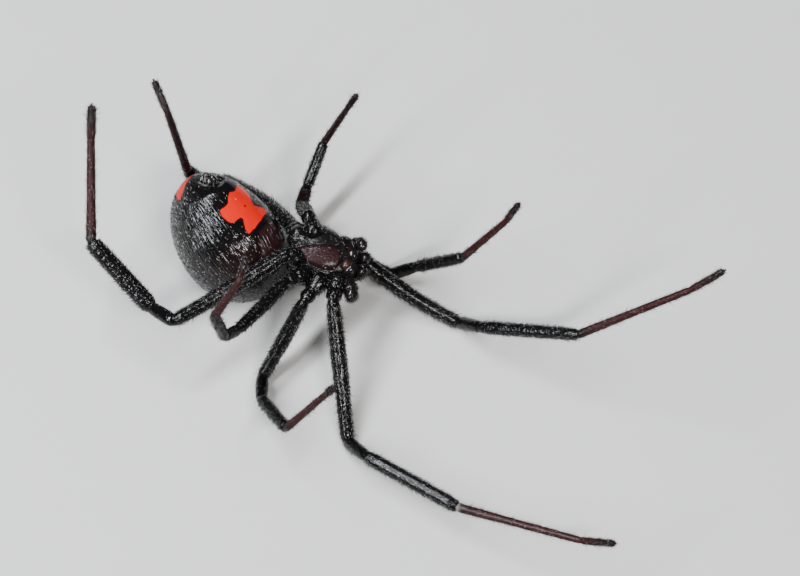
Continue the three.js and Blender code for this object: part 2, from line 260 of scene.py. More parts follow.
# %% Ridges of stretched skin
def ridge_group():
    """Ridges along a body, from its own unwrap: many round it, few and broken along it."""
    inputs = {"Along": 15.0, "Round": 165.0, "Amount": 1.0}
    made, given, result = group("ridges", inputs, "Height")
    nodes, links = made.nodes, made.links
    place = nodes.new("ShaderNodeUVMap")
    place.uv_map = "OFBake"
    stretch = nodes.new("ShaderNodeCombineXYZ")
    scaled = nodes.new("ShaderNodeVectorMath")
    scaled.operation = "MULTIPLY"
    cloud = nodes.new("ShaderNodeTexNoise")
    cloud.inputs["Scale"].default_value = 1.0
    cloud.inputs["Detail"].default_value = 0.6
    cloud.inputs["Distortion"].default_value = 0.4
    links.new(given.outputs["Along"], stretch.inputs["X"])
    links.new(given.outputs["Round"], stretch.inputs["Y"])
    links.new(place.outputs["UV"], scaled.inputs[0])
    links.new(stretch.outputs[0], scaled.inputs[1])
    links.new(scaled.outputs[0], cloud.inputs["Vector"])
    folded = maths(made, "MULTIPLY", cloud.outputs["Fac"], given.outputs["Amount"])
    links.new(folded, result.inputs["Height"])
    return made


RIDGES = ridge_group()
print("node group:", RIDGES.name)


# %% Edges of markings
def mask_group():
    """1 inside a marking and 0 outside, from a distance kept on the mesh in mm."""
    inputs = {"Distance": 0.0, "Soft": 0.03, "Rough": 0.05}
    made, given, result = group("mark_mask", inputs, "Mask")
    nodes, links = made.nodes, made.links
    place = nodes.new("ShaderNodeTexCoord")
    cloud = nodes.new("ShaderNodeTexNoise")
    cloud.inputs["Scale"].default_value = 3500.0
    cloud.inputs["Detail"].default_value = 4.0
    step = nodes.new("ShaderNodeMapRange")
    step.interpolation_type = "SMOOTHSTEP"
    links.new(place.outputs["Object"], cloud.inputs["Vector"])
    shift = maths(made, "SUBTRACT", cloud.outputs["Fac"], 0.5)
    uneven = maths(made, "MULTIPLY_ADD", shift, given.outputs["Rough"], given.outputs["Distance"])
    links.new(uneven, step.inputs["Value"])
    links.new(maths(made, "MULTIPLY", given.outputs["Soft"], -1.0), step.inputs["From Min"])
    links.new(given.outputs["Soft"], step.inputs["From Max"])
    links.new(step.outputs[0], result.inputs["Mask"])
    return made


MARK = mask_group()
print("node group:", MARK.name)

# %% [markdown]
# ## Materials
# One builder makes them all. The base is nearly black cuticle whose low roughness gives it sharp
# highlights, and whose low shine keeps it black between them. Each extra colour is laid over it
# where a value kept on the mesh says so: the red mark, the maroon plates, the pale joint skin that
# also holds a painted highlight, and the red-brown of the feet. Paint on the mesh would do too, but
# distances keep every edge sharp.


# %% A cuticle
COAT_ROUGHNESS = 0.12


def ridged(nodes, links, bump, shader, height):
    """Adds the ridges to the scales' bump, where the mesh's value "folds" lets them."""
    folds = nodes.new("ShaderNodeGroup")
    folds.node_tree = RIDGES
    amount = nodes.new("ShaderNodeAttribute")
    amount.attribute_name = "folds"
    links.new(amount.outputs["Fac"], folds.inputs["Amount"])
    second = nodes.new("ShaderNodeBump")
    second.inputs["Distance"].default_value = height
    links.new(folds.outputs["Height"], second.inputs["Height"])
    links.new(bump.outputs["Normal"], second.inputs["Normal"])
    links.new(second.outputs["Normal"], shader.inputs["Normal"])


def material(
    name, colour, roughness, coat=0.0, grain=9000.0, relief=0.00001, ridges=0.0, shine=0.26
):
    """Cuticle with scales of relief metres and, on skin with folds, ridges of ridges metres."""
    made = bpy.data.materials.new(name)
    made.use_nodes = True
    nodes, links = made.node_tree.nodes, made.node_tree.links
    shader = nodes["Principled BSDF"]
    set_on = {
        "Base Color": (*colour, 1), "Roughness": roughness, "Specular IOR Level": shine,
        "Coat Weight": coat, "Coat Roughness": COAT_ROUGHNESS,
    }
    for socket, value in set_on.items():
        shader.inputs[socket].default_value = value
    bump = nodes.new("ShaderNodeBump")
    bump.inputs["Distance"].default_value = relief
    height = nodes.new("ShaderNodeGroup")
    height.node_tree = GRAIN
    height.inputs["Scale"].default_value = grain
    links.new(height.outputs["Height"], bump.inputs["Height"])
    links.new(bump.outputs["Normal"], shader.inputs["Normal"])
    if ridges:
        ridged(nodes, links, bump, shader, ridges)
    return made


print("clear coat's roughness:", COAT_ROUGHNESS)


# %% A colour laid over it
def colour_over(mat, attribute, colour, soft=0.03, rough=0.05, roughness=None):
    """Lays a colour over the material where the named value on the mesh is above 0, with an edge
    that is soft mm wide and strays by rough mm. A roughness may go with it."""
    nodes, links = mat.node_tree.nodes, mat.node_tree.links
    shader = nodes["Principled BSDF"]
    value = nodes.new("ShaderNodeAttribute")
    value.attribute_name = attribute
    mask = nodes.new("ShaderNodeGroup")
    mask.node_tree = MARK
    mask.inputs["Soft"].default_value = soft
    mask.inputs["Rough"].default_value = rough
    links.new(value.outputs["Fac"], mask.inputs["Distance"])
    laid_over = {"Base Color": (*colour, 1), "Roughness": roughness}
    for socket, over in laid_over.items():
        if over is None:
            continue
        is_colour = socket == "Base Color"
        mix = nodes.new("ShaderNodeMix")
        mix.data_type = "RGBA" if is_colour else "FLOAT"
        first = 6 if is_colour else 2  # the Mix node has a pair of inputs for each data type
        kept, laid = mix.inputs[first], mix.inputs[first + 1]
        laid.default_value = over
        before = shader.inputs[socket]
        if before.is_linked:
            links.new(before.links[0].from_socket, kept)
        else:
            kept.default_value = before.default_value
        links.new(mask.outputs["Mask"], mix.inputs[0])
        links.new(mix.outputs[2] if is_colour else mix.outputs[0], before)
    return mat


# %% Colours
BLACK = (0.0021, 0.0019, 0.0021)
MAROON = (0.014, 0.004, 0.0046)
BROWN_TINT = (0.007, 0.003, 0.0026)
RED_BROWN = (0.0155, 0.0002, 0.0002)
DARK_FOOT = (0.0045, 0.0002, 0.0002)
ORANGE_BROWN = (0.026, 0.009, 0.005)
# Pale joint skin, made pale enough to also act as a painted highlight on L1's joint.
PALE_SKIN_AND_GLINT = (0.11, 0.08, 0.075)
RED_MARK = (0.43, 0.0045, 0.0)
PROSOMA_BROWN = (0.004, 0.003, 0.003)
JAW_BROWN = (0.005, 0.0035, 0.0035)
MOUTH_BROWN = (0.006, 0.0035, 0.0035)
SPINNERET_BROWN = (0.005, 0.004, 0.004)
CLAW_BROWN = (0.02, 0.006, 0.003)
EYE_BLACK = (0.003, 0.003, 0.004)
DARK_SETA = (0.008, 0.006, 0.006)
# Pale bristles: a painted glint, light put in as colour, and round the spinnerets partly the hairs' own
# pale.
PALE_AND_GLINT_SETA = (0.42, 0.41, 0.4)
print("red of the mark:", RED_MARK)

# %% Looks of the abdomen
abdomen_look = material(
    "abdomen_cuticle", BLACK, 0.14, coat=0.03, grain=8000, relief=0.000006, ridges=0.00008, shine=0.22
)
colour_over(abdomen_look, "tint", BROWN_TINT, soft=0.8, rough=0.8)
colour_over(abdomen_look, "plate", MAROON, soft=0.3, rough=0.5, roughness=0.3)
colour_over(abdomen_look, "red_mark", RED_MARK, soft=0.025, rough=0.12, roughness=0.24)
colour_over(abdomen_look, "red_spot", RED_MARK, soft=0.05, rough=0.12, roughness=0.4)
print(abdomen_look.name, len(abdomen_look.node_tree.nodes), "nodes")

# %% Looks of the legs
leg_look = material("leg_cuticle", BLACK, 0.18, coat=0.04, grain=9500, relief=0.000045, shine=0.19)
colour_over(leg_look, "matte", DARK_FOOT, soft=0.6, rough=0.2, roughness=0.6)
colour_over(leg_look, "foot", RED_BROWN, soft=0.6, rough=0.3, roughness=0.6)
colour_over(leg_look, "bald", BLACK, soft=0.4, rough=0.1, roughness=0.08)
# The pale patch on L1's joint: joint skin and a painted highlight in one colour.
colour_over(leg_look, "joint_skin_and_glint", PALE_SKIN_AND_GLINT, soft=0.3, rough=0.1, roughness=0.3)
print(leg_look.name, len(leg_look.node_tree.nodes), "nodes")

# %% Looks of the front half and the small parts
prosoma_look = material(
    "prosoma_cuticle", PROSOMA_BROWN, 0.26, coat=0.04, grain=10000, relief=0.000035, shine=0.12
)
colour_over(prosoma_look, "sternum", MAROON, soft=0.1, rough=0.2, roughness=0.38)
mouth_look = material("mouth_cuticle", MOUTH_BROWN, 0.18, coat=0.2, grain=8000, relief=0.00002)
colour_over(mouth_look, "labium", ORANGE_BROWN, soft=0.8, rough=1.0, roughness=0.4)
dark_look = material("dark_cuticle", JAW_BROWN, 0.16, coat=0.2, relief=0.000015)
spinneret_look = material("spinneret_cuticle", SPINNERET_BROWN, 0.12, coat=0.4, relief=0.00002)
claw_look = material("claw_horn", CLAW_BROWN, 0.2, coat=0.3, grain=14000, relief=0.000002)
eye_look = material("eye_lens", EYE_BLACK, 0.05, coat=1.0, grain=3000, relief=0.0)
seta_look = material("seta_horn", DARK_SETA, 0.25, grain=20000, relief=0.0)
# The pale bristles' look: mostly a painted glint of light, partly the pale of the spinnerets' hairs.
pale_and_glint_seta_look = material("pale_seta_and_painted_glint", PALE_AND_GLINT_SETA, 0.3, grain=20000, relief=0.0)
print("materials:", len(bpy.data.materials))


# %% Placing a finished piece
def placed(obj, look, slot, *nodes):
    """Gives a finished piece its material and its place in the spider."""
    obj.data.materials.clear()
    obj.data.materials.append(look)
    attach(obj, "root")
    if nodes:
        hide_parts(*nodes)
    return obj


# %% [markdown]
# ## Abdomen
# The great globe of the body: about 7 mm long, a little flatter on the belly and narrower towards
# the spinnerets, round which it swells to a low collar. A smooth maroon plate over the book lungs
# takes the front of the belly, and four small pits show where muscles hold the skin. The markings
# are outlines on the belly, and each point of the skin keeps its distance to them.

# %% The abdomen's measures
HALF_LENGTH, HALF_WIDTH, BELLY, BACK = 3.54, 2.39, 2.5, 3.1
NARROWING = 0.1

HOURGLASS = [
    (-1.89, 0.84), (-1.73, 0.28), (-1.89, -0.02), (-1.71, -0.34), (-1.51, -0.48), (-1.47, -0.72),
    (-1.47, -1.04), (-1.25, -1.17), (-0.93, -1.21), (-0.65, -1.14), (-0.57, -0.92), (-0.57, -0.6),
    (-0.44, -0.56), (-0.01, -0.83), (0.34, -0.89), (0.3, -0.43), (0.15, 0.31), (0.04, 1.18),
    (-0.27, 0.96), (-0.58, 0.59), (-0.8, 0.63), (-1.16, 0.98), (-1.61, 1.16),
]
DARK_DOT, DARK_DOT_RADIUS = Vector((-0.87, 0.05)), 0.055
RED_SPOT = {"across": 1.15, "height": 0.5, "middle": 0.02, "size": 0.6}
TINT, TINT_RADIUS = Vector((1.1, -1.6)), 0.8
PLATE = [
    (0.48, 0.95), (0.5, 0.3), (0.56, -0.3), (0.84, -0.62), (1.62, -0.86), (2.6, -0.92), (2.6, 0.92),
    (1.62, 0.86), (0.84, 1.0),
]
PITS = [(-1.55, -1.32), (-1.55, 1.32), (0.1, -1.35), (0.1, 1.45)]
PIT_DEPTH, PIT_SPREAD = 0.06, 0.012
SPINNING_FIELD = Vector((-2.88, 0.08, 1.36))
# Rise of the skin by the distance inside the plate's outline, and from the spinning field.
PLATE_RISE = [(-0.5, 0.0), (-0.15, 0.02), (0.0, -0.03), (0.2, 0.04), (0.6, 0.06)]
COLLAR_RISE = [(0.5, -0.05), (0.78, 0.12), (0.92, 0.12), (2.1, 0.0)]
# The belly's middle is smooth: an oval of this place and size.
SMOOTH = {"middle": -1.2, "half_length": 2.2, "half_width": 1.25}
SMOOTH_FOLDS = 0.12
print("abdomen's length in mm:", 2 * HALF_LENGTH)


# %% Distance to a marking
def outline_distance(outline, x, y):
    """Distance in mm from a point to an outline, above 0 inside it."""
    inside, nearest = False, 1e9
    for (ax, ay), (bx, by) in zip(outline, outline[1:] + outline[:1]):
        dx, dy = bx - ax, by - ay
        t = min(max(((x - ax) * dx + (y - ay) * dy) / (dx * dx + dy * dy), 0), 1)
        nearest = min(nearest, math.hypot(x - ax - t * dx, y - ay - t * dy))
        if (ay > y) != (by > y) and x < ax + dx * (y - ay) / dy:
            inside = not inside
    return nearest if inside else -nearest


print("the dark dot lies", round(outline_distance(HOURGLASS, *DARK_DOT), 2), "mm inside the mark")


# %% The abdomen's shape
def abdomen_point(along, turn):
    """A point of the abdomen in its own frame: rear end at along 0, belly at turn 0.25."""
    lean, angle = math.pi * along, 2 * math.pi * turn
    x, y = -math.cos(lean), math.sin(lean) * math.cos(angle)
    z = math.sin(lean) * math.sin(angle)
    full = 1 + NARROWING * x
    point = Vector((x * HALF_LENGTH, y * HALF_WIDTH * full, z * (BELLY if z > 0 else BACK) * full))
    if z > 0:
        edge = outline_distance(PLATE, point.x, point.y)
        away = [(point.x - a) ** 2 + (point.y - b) ** 2 for a, b in PITS]
        pits = sum(math.exp(-(square / PIT_SPREAD)) for square in away)
        point.z += (ramp(PLATE_RISE, edge) - PIT_DEPTH * pits) * min(z * 2, 1)
    point += point.normalized() * ramp(COLLAR_RISE, (point - SPINNING_FIELD).length)
    dents = 1 + 0.009 * noise.noise(point * 1.3) + 0.004 * noise.noise(point * 3.1)
    return point * dents


print("top of the belly:", [round(c, 2) for c in abdomen_point(0.5, 0.25)])


# %% Markings on the abdomen
def red_mark(along, turn):
    p = abdomen_point(along, turn)
    if p.z < 0:
        return -1.0
    return min(outline_distance(HOURGLASS, p.x, p.y), (p.xy - DARK_DOT).length - DARK_DOT_RADIUS)


def red_spot(along, turn):
    p = abdomen_point(along, turn)
    off = math.hypot(p.y / RED_SPOT["across"], (p.z - RED_SPOT["middle"]) / RED_SPOT["height"])
    return RED_SPOT["size"] * (1 - off) if p.x < 0 else -1.0


def lung_plate(along, turn):
    p = abdomen_point(along, turn)
    return outline_distance(PLATE, p.x, p.y) if p.z > 0 else -1.0


def brown_tint(along, turn):
    p = abdomen_point(along, turn)
    return 1.0 - (p.xy - TINT).length / TINT_RADIUS if p.z > -0.5 else -1.0


print("marking at the top of the belly:", round(red_mark(0.5, 0.25), 2))


# %% Folds and hair of the abdomen
def flank_folds(along, turn):
    """Where the skin has lengthwise folds: over the flanks, not on the smooth middle of the belly."""
    p = abdomen_point(along, turn)
    along_oval, across_oval = (p.x - SMOOTH["middle"]) / SMOOTH["half_length"], p.y / SMOOTH["half_width"]
    middle = math.hypot(along_oval, across_oval) if p.z > 0 else 2.0
    return ramp([(0.75, SMOOTH_FOLDS), (1.1, 1.0), (2.4, 0.75)], middle)


def abdomen_hair(along, turn):
    """Hair is thin on the middle of the belly, and fuller on the flanks and the back."""
    on_mark = ramp([(-0.05, 1.0), (0.0, 0.06)], max(red_mark(along, turn), red_spot(along, turn)))
    return ramp([(SMOOTH_FOLDS, 0.3), (1.0, 1.0)], flank_folds(along, turn)) * on_mark


print("hair at the top of the belly:", round(abdomen_hair(0.5, 0.25), 2))

# %% The abdomen's skin
abdomen_marks = {
    "red_mark": red_mark, "red_spot": red_spot, "plate": lung_plate, "tint": brown_tint,
    "folds": flank_folds, "hair": abdomen_hair,
}
skin = rolled(150, 200, lambda a, t: ABDOMEN @ abdomen_point(a, t), flow=-1, marks=abdomen_marks)
abdomen = placed(finished("abdomen_skin", skin), abdomen_look, "black_cuticle", "abdomen")

# %% [markdown]
# ## Prosoma
# The front half is one low shell: the carapace under it, here towards the floor, and on the belly
# side the sternum, a maroon shield with a rim. Its width and its two depths are curves along it.
# The narrow stalk to the abdomen is part of the skin.

# %% The prosoma's measures
WIDTHS = [
    (-1.85, 0.3), (-1.6, 0.9), (-1.1, 1.35), (-0.4, 1.6), (0.3, 1.45), (0.9, 1.15), (1.4, 1.0),
    (1.9, 0.72),
]
BELLY_SIDE = [(-1.85, 0.2), (-1.4, 0.6), (0, 0.75), (1.2, 0.62), (1.9, 0.3)]
BACK_SIDE = [(-1.85, 0.25), (-1.4, 0.7), (-0.45, 0.82), (0.5, 1.05), (1.2, 1.1), (1.9, 0.75)]
PROSOMA_BACK, PROSOMA_LENGTH = -1.85, 3.75
# Half the shield's width along the body, and the rise of the skin by the distance inside its edge.
SHIELD = [
    (-1.5, 0.05), (-1.3, 0.2), (-0.9, 0.36), (-0.4, 0.5), (0.1, 0.58), (0.45, 0.57), (0.7, 0.46),
    (0.88, 0.1),
]
SHIELD_BACK, SHIELD_FRONT = SHIELD[0][0], SHIELD[-1][0]
SHIELD_RISE = [(-0.14, 0.0), (-0.06, -0.04), (0.0, 0.04), (0.1, 0.12), (0.4, 0.14)]
print("prosoma's length in mm:", PROSOMA_LENGTH)


# %% The prosoma's shape
def shield_distance(p):
    """Distance in mm from a point of the belly side to the shield's edge, above 0 inside it."""
    if p.z < 0 or not SHIELD_BACK < p.x < SHIELD_FRONT:
        return -0.3
    return min(ramp(SHIELD, p.x) - abs(p.y), p.x - SHIELD_BACK, SHIELD_FRONT - p.x)


def prosoma_point(along, turn):
    """A point of the prosoma in its own frame: rear end at along 0, belly at turn 0.25."""
    x = PROSOMA_BACK + PROSOMA_LENGTH * along
    angle = 2 * math.pi * turn
    round_off = dome(along, 0.05) * dome(1 - along, 0.1)
    depth = ramp(BELLY_SIDE if math.sin(angle) > 0 else BACK_SIDE, x) * round_off
    p = Vector((x, ramp(WIDTHS, x) * round_off * math.cos(angle), depth * math.sin(angle)))
    if p.z > 0:
        p.z += ramp(SHIELD_RISE, shield_distance(p)) + 0.008 * noise.noise(p * 6)
    return p


def sternum(along, turn):
    return shield_distance(prosoma_point(along, turn))


print("middle of the sternum:", [round(c, 2) for c in prosoma_point(0.5, 0.25)])

# %% The prosoma's skin and the stalk
skin = rolled(90, 120, lambda a, t: PROSOMA @ prosoma_point(a, t), marks={"sternum": sternum})
stalk = [ABDOMEN @ Vector(place) for place in ((1.9, 0, 1.5), (2.4, 0, 1.5))]
stalk.append(PROSOMA @ Vector((-1.3, 0, 0)))
stalk_marks = {"sternum": lambda along, turn: -1.0, "hair": lambda along, turn: 0.2}
tube(stalk, [(0, 0.34), (0.5, 0.27), (1, 0.34)], 20, into=skin, marks=stalk_marks)
prosoma = placed(finished("prosoma_skin", skin), prosoma_look, "brown_cuticle", "prosoma", "pedicel")

# %% [markdown]
# ## Legs
# Each leg is one skin from its coxa to the tip of its tarsus, so no seam shows between the pieces.
# The pose is a row of joints, and every piece has its own profile. The patellae are bald and mirror
# the light, the thin red-brown feet are matt, and where L1's foot starts a pale patch of joint skin
# shows, lightened further as a painted highlight.

# %% The legs' measures
KNEE_HEIGHT = 0.27
LEG_SIZES = {
    "1": {"femur": 7.1, "patella": 1.9, "tibia": 5.5, "metatarsus": 6.6, "tarsus": 2.2, "radius": 0.4},
    "2": {"femur": 4.6, "patella": 1.6, "tibia": 3.3, "metatarsus": 4.3, "tarsus": 1.6, "radius": 0.37},
    "3": {"femur": 3.9, "patella": 1.3, "tibia": 2.4, "metatarsus": 3.0, "tarsus": 1.4, "radius": 0.34},
    "4": {"femur": 6.8, "patella": 1.6, "tibia": 4.4, "metatarsus": 5.1, "tarsus": 1.8, "radius": 0.4},
}
# Root of the femur, bend of the femur, and each piece's bearing and rise in degrees. The femur's
# rise is None where its knee lies on the floor.
LEG_POSES = {
    "L1": [(-3.33, -2.94, 3.9), (0, 0, -0.15), (-83, None), (-56, 33), (-34, 4), (-23, 12), (-26, 34)],
    "L2": [(-4.76, -2.75, 3.45), (0, 0, -0.12), (-130, None), (-90, 18), (-63, 30), (-5, 62), (-40, 68)],
    "L3": [(-5.61, -2.14, 4.4), (0, 0, -0.1), (-128, 7), (-126, 37), (-157, 79), (16, 64), (77, 7)],
    "L4": [(-5.52, -0.59, 4.6), (0, 0, -0.15), (-147, -4), (138, -14), (136, 20), (90, 31), (87, 42)],
    "R1": [(-2.85, 0.92, 2.92), (-0.05, -0.28, -0.1), (-28, None), (-42, 41), (-19, 23), (4, 35), (10, 41)],
    "R2": [(-4.05, 1.6, 3.0), (-0.1, -0.12, -0.08), (-15, None), (-5, 37), (-18, 42), (-4, 61), (19, 64)],
    "R3": [(-4.65, 1.85, 4.35), (0, 0, -0.1), (99, -53), (46, 70), (66, 29), (16, 65), (1, 69)],
    "R4": [(-5.3, 1.52, 3.28), (0.25, 0.15, -0.05), (129, -26), (-72, 2), (-169, 62), (158, 80), (117, 31)],
}
# Where a leg leaves the prosoma: forward, out and up.
COXA_BASES = {
    "1": (0.95, 0.65, 0.4), "2": (0.25, 0.8, 0.45), "3": (-0.5, 0.8, 0.45), "4": (-1.15, 0.5, 0.45),
}
PIECES = ("femur", "patella", "tibia", "metatarsus", "tarsus")
# Radius along each piece in shares of the femur's.
PROFILES = {
    "coxa": [(0, 1.32), (0.35, 1.36), (0.58, 1.16), (0.69, 0.86), (0.76, 1.0), (0.9, 1.0), (1, 0.7)],
    "femur": [(0, 0.68), (0.05, 0.84), (0.14, 0.92), (0.45, 1.0), (0.8, 0.88), (0.94, 0.86), (1, 0.7)],
    "patella": [(0, 0.68), (0.07, 0.82), (0.25, 0.9), (0.6, 0.88), (0.92, 0.8), (1, 0.68)],
    "tibia": [(0, 0.66), (0.04, 0.78), (0.12, 0.83), (0.5, 0.82), (0.9, 0.8), (0.97, 0.74), (1, 0.56)],
    "metatarsus": [(0, 0.5), (0.02, 0.58), (0.1, 0.54), (0.5, 0.48), (0.97, 0.44), (1, 0.38)],
    "tarsus": [(0, 0.38), (0.05, 0.44), (0.4, 0.44), (0.85, 0.42), (1, 0.34)],
}
# Some pieces are stouter than their pair's measure.
STOUTER = {
    ("L4", "tibia"): 1.35, ("L1", "tibia"): 1.06, ("R4", "tibia"): 1.1, ("R4", "coxa"): 1.22,
    ("R3", "coxa"): 1.12, ("L3", "metatarsus"): 1.2, ("L3", "tarsus"): 1.15, ("L4", "metatarsus"): 1.15,
    ("L4", "tarsus"): 1.25,
}
RING_STEP = 0.075
HAIRINESS = {"coxa": 0.5, "femur": 1.0, "patella": 0.1, "tibia": 0.9, "metatarsus": 0.8, "tarsus": 1.6}
BARE_JOINT = [(0.03, 0.2), (0.2, 1.0)]  # hair by the distance in mm from a piece's end
DARK_FEET = ("R4", "R3")
DULL_PIECES = (("R3", "femur"), ("R3", "patella"))
# The piece whose pale joint skin also carries a painted highlight.
PALE_JOINT = ("L1", "metatarsus")
print("legs:", *LEG_POSES)


# %% Joints of a leg
def leg_joints(name):
    """The ends of a leg's pieces, from its coxa to the tip of its tarsus."""
    pair, side = name[1], -1 if name[0] == "L" else 1
    root, _bow, *ways = LEG_POSES[name]
    sizes = LEG_SIZES[pair]
    forward, out, up = COXA_BASES[pair]
    joints = [PROSOMA @ Vector((forward, out * side, up)), Vector(root) + ORIGIN]
    for part, (bearing, rise) in zip(PIECES, ways):
        if rise is None:
            rise = -math.degrees(math.asin((root[2] - KNEE_HEIGHT) / sizes[part]))
        joints.append(joints[-1] + heading(bearing, rise) * sizes[part])
    return joints


print("tip of L1:", [round(c, 2) for c in leg_joints("L1")[-1]])


# %% Rings of a leg
def ring_marks(name, part, share, near):
    """What shows at a share of a piece's length, near mm away from the piece's nearer end."""
    dull = (name, part) in DULL_PIECES
    pale = (name, part) == PALE_JOINT and share < 0.5
    bald = (part == "patella" and not dull) or (part == "coxa" and share > 0.62)
    foot = {"metatarsus": min(share * 5 - 0.5, 0.9), "tarsus": 0.7 - 1.8 * share}.get(part, -1.0)
    matte = {"metatarsus": min(share * 12 - 0.6, 1.0), "tarsus": 1.0}.get(part, -1.0)
    return {
        "foot": min(foot, -0.3) if name in DARK_FEET else foot,
        "matte": 1.0 if dull else matte,
        # Pale joint skin that is also a painted highlight, fading over about 0.14 mm from the joint.
        "joint_skin_and_glint": 0.5 - near * 3.5 if pale else -1.0,
        "bald": 1.0 if bald else -1.0,
        "hair": (1.0 if dull else HAIRINESS[part]) * ramp(BARE_JOINT, near),
    }


def leg_rings(name):
    """The rings of one leg: middle, radius and what shows there."""
    joints = leg_joints(name)
    bow = Vector(LEG_POSES[name][1])
    thick = LEG_SIZES[name[1]]["radius"]
    rings = []
    for part, start, end in zip(("coxa", *PIECES), joints, joints[1:]):
        length = (end - start).length
        count = round(length / RING_STEP)
        for i in range(count):
            share = i / count
            middle = start.lerp(end, share)
            if part == "femur":
                middle = middle + bow * 4 * share * (1 - share)
            rings.append({
                "middle": middle,
                "radius": ramp(PROFILES[part], share) * thick * STOUTER.get((name, part), 1),
                **ring_marks(name, part, share, min(share, 1 - share) * length),
            })
    return rings


print("rings of L1:", len(leg_rings("L1")))


# %% Skins of the legs
def eased(points, times):
    """Rounds the corners of a row of points."""
    for _ in range(times):
        inner = [(a + 2 * b + c) / 4 for a, b, c in zip(points, points[1:], points[2:])]
        points = [points[0], *inner, points[-1]]
    return points


def leg_skin(name):
    """One skin over all the pieces of a leg, with the marks of its rings."""
    rings = leg_rings(name)
    middles = eased([ring["middle"] for ring in rings], 3)
    frames = carried_frames(middles)
    rows = len(rings) - 1

    def place(along, turn):
        row = round(along * rows)
        side, up = frames[row]
        radius = rings[row]["radius"]
        radius *= dome(row * RING_STEP, radius) * dome((rows - row) * RING_STEP, radius)
        angle = 2 * math.pi * turn
        return middles[row] + (side * math.cos(angle) + up * math.sin(angle)) * radius

    values = {
        key: lambda along, turn, key=key: rings[round(along * rows)][key]
        for key in ("foot", "matte", "joint_skin_and_glint", "bald", "hair")
    }
    made = finished(f"leg_{name}_skin", rolled(rows, 18, place, marks=values))
    nodes = [f"leg_{name}_{part}" for part in ("coxa", "femur", "patella", "tibia", "metatarsus")]
    return placed(made, leg_look, "black_cuticle", *nodes)


legs = {name: leg_skin(name) for name in LEG_POSES}

# %% [markdown]
# ## Eyes
# Eight small eyes stand in two rows on the front of the head, here near the floor. Each is a clear
# lens over a dark cup, so a glossy black ball that is half sunk in the head is enough.

# %% Eyes
EYE_RADIUS = 0.1
# How far forward each pair stands, and its angle round the head in degrees.
EYES = {
    "front_middle": (1.88, -58), "front_side": (1.78, -30),
    "rear_middle": (1.55, -70), "rear_side": (1.5, -42),
}


def head_surface(forward, angle):
    """A point on the head's shell, in the prosoma's own frame."""
    depth = ramp(BELLY_SIDE if math.sin(angle) > 0 else BACK_SIDE, forward)
    return Vector((forward, ramp(WIDTHS, forward) * math.cos(angle), depth * math.sin(angle)))


for eye_name, (forward, angle) in EYES.items():
    for side, turn in (("R", angle), ("L", 180 - angle)):
        node = f"eye_{eye_name}_{side}"
        bm = bmesh.new()
        bmesh.ops.create_uvsphere(bm, u_segments=24, v_segments=16, radius=EYE_RADIUS * MM)
        middle = PROSOMA @ head_surface(forward, math.radians(turn))
        bmesh.ops.translate(bm, verts=bm.verts, vec=middle * MM)
        placed(finished(f"{node}_lens", bm), eye_look, "eye", node)


# %% [markdown]
# ## Jaws
# Two stout chelicerae hang from the head's front and each ends in a short fang that folds inwards.
# Each is a tube along a path that thins to its end, with a thin curved tube for the fang.

# %% Jaws
JAW = [(1.6, 0.36, -0.3), (1.92, 0.4, 0.15), (2.06, 0.38, 0.5), (2.06, 0.33, 0.87)]
JAW_RADII = [(0, 0.28), (0.4, 0.35), (0.7, 0.31), (1, 0.18)]
FANG = [(2.07, 0.3, 0.78), (2.05, 0.26, 0.98), (2.0, 0.16, 1.07), (1.93, 0.06, 1.07)]
FANG_RADII = [(0, 0.08), (0.4, 0.055), (1, 0.012)]
fang_marks = {"hair": lambda along, turn: 0.0}


def on_head(points, side=1):
    """Points of the prosoma's own frame put in the model's, mirrored where side is -1."""
    return [PROSOMA @ Vector((x, y * side, z)) for x, y, z in points]


jaws = []
for label, side in (("L", -1), ("R", 1)):
    bm = tube(on_head(JAW, side), JAW_RADII, 28)
    tube(on_head(FANG, side), FANG_RADII, 12, into=bm, marks=fang_marks)
    jaw = finished(f"chelicera_{label}_skin", bm)
    jaws.append(placed(jaw, dark_look, "black_cuticle", f"chelicera_{label}"))

# %% [markdown]
# ## Mouthparts and palps
# On the belly side a short labium and two endites close the mouth, and a palp stands on each side,
# like a small leg with a waist at each joint. All are tubes again, because a tube's radii can
# follow such waists. The left palp, which reaches out from the head here, is the stouter one.

# %% Mouthparts
LABIUM = [(0.95, -0.16, 0.62), (1.2, -0.2, 0.7), (1.5, -0.2, 0.66)]
ENDITE = [(1.1, 0.64, 0.46), (1.38, 0.42, 0.7), (1.64, 0.15, 0.74)]
ENDITE_RADII = [(0, 0.2), (0.5, 0.27), (0.85, 0.23), (1, 0.12)]
labium_marks = {
    "labium": lambda along, turn: 0.45 if along > 0.3 else -0.6,
    "hair": lambda along, turn: 0.5,
}
endite_marks = {"labium": lambda along, turn: -1.0}
bm = tube(on_head(LABIUM), [(0, 0.24), (0.5, 0.3), (1, 0.2)], 24, marks=labium_marks)
for side in (-1, 1):
    tube(on_head(ENDITE, side), ENDITE_RADII, 20, into=bm, marks=endite_marks)
mouth = placed(finished("mouthparts_skin", bm), mouth_look, "pale_cuticle", "mouthparts")

